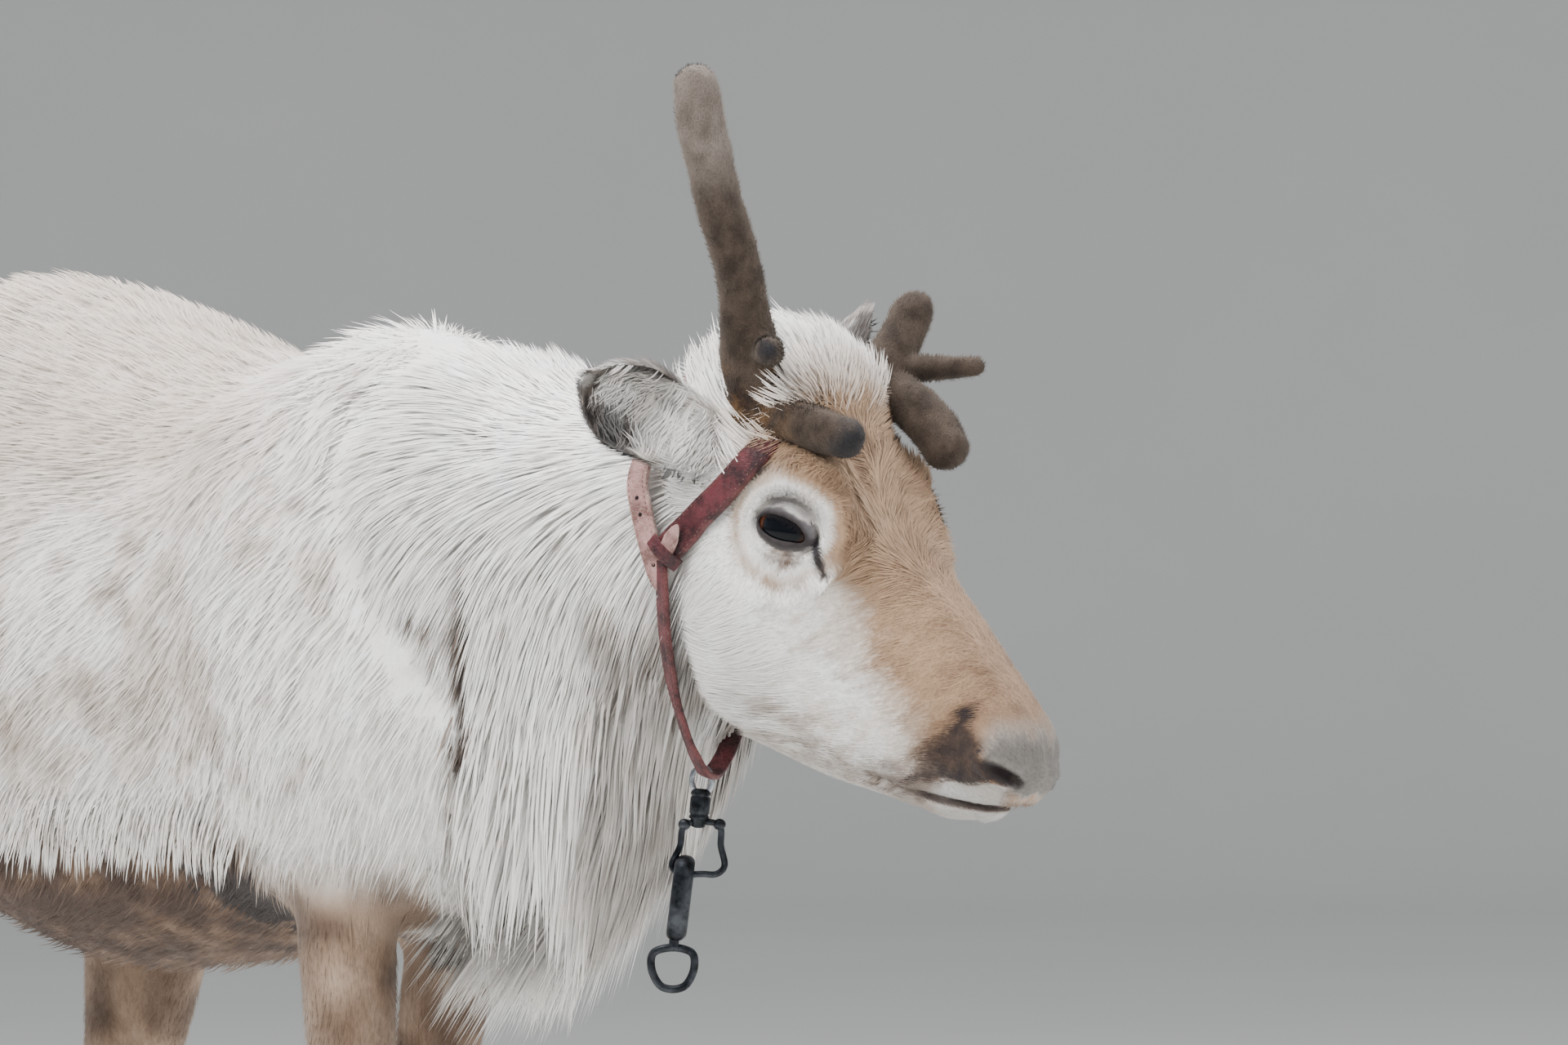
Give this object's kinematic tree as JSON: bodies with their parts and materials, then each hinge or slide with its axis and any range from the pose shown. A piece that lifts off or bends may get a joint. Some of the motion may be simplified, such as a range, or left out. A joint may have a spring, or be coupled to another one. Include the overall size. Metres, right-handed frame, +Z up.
{
  "type": "reindeer",
  "caption": "Standing reindeer in a spring coat with a bearded neck, short velvet antlers and a leather headstall, head lowered and turned left.",
  "frame": {"origin": "on the ground, under the middle of the bounding box", "axes": "+X forward along the back, +Y to the animal's left, +Z up"},
  "size_m": [1.4612, 0.4606, 1.1755],
  "materials": {
    "body_coat": "long soft white and beige hair, matt",
    "face_coat": "short tan and white hair lying flat",
    "leg_coat": "short brown-grey hair",
    "velvet": "short taupe velvet with paler hair tips",
    "eye_gloss": "wet dark eye",
    "hoof_horn": "dark worn horn",
    "strap_leather": "worn dark red leather with faded edges",
    "fitting_steel": "dull worn steel"
  },
  "bodies": {
    "root": {"torso": "body_coat", "neck": "body_coat", "head": "face_coat", "lower_jaw": "face_coat", "eye_right": "eye_gloss", "eye_left": "eye_gloss", "ear_right": "body_coat", "ear_left": "body_coat", "antler_right_beam": "velvet", "antler_right_brow_tine": "velvet", "antler_right_bez_tine": "velvet", "antler_left_beam": "velvet", "antler_left_brow_tine": "velvet", "antler_left_bez_tine": "velvet", "foreleg_right_upper": "leg_coat", "foreleg_right_lower": "leg_coat", "hoof_fore_right_outer": "hoof_horn", "dewclaw_fore_right_outer": "hoof_horn", "hoof_fore_right_inner": "hoof_horn", "dewclaw_fore_right_inner": "hoof_horn", "foreleg_left_upper": "leg_coat", "foreleg_left_lower": "leg_coat", "hoof_fore_left_outer": "hoof_horn", "dewclaw_fore_left_outer": "hoof_horn", "hoof_fore_left_inner": "hoof_horn", "dewclaw_fore_left_inner": "hoof_horn", "hindleg_right_upper": "leg_coat", "hindleg_right_lower": "leg_coat", "hoof_hind_right_outer": "hoof_horn", "dewclaw_hind_right_outer": "hoof_horn", "hoof_hind_right_inner": "hoof_horn", "dewclaw_hind_right_inner": "hoof_horn", "hindleg_left_upper": "leg_coat", "hindleg_left_lower": "leg_coat", "hoof_hind_left_outer": "hoof_horn", "dewclaw_hind_left_outer": "hoof_horn", "hoof_hind_left_inner": "hoof_horn", "dewclaw_hind_left_inner": "hoof_horn", "tail": "body_coat", "strap_crown": "strap_leather", "strap_nape": "strap_leather", "strap_throat": "strap_leather", "ring": "fitting_steel", "swivel": "fitting_steel", "link": "fitting_steel", "snap": "fitting_steel", "snap_eye": "fitting_steel"}
  },
  "joints": []
}
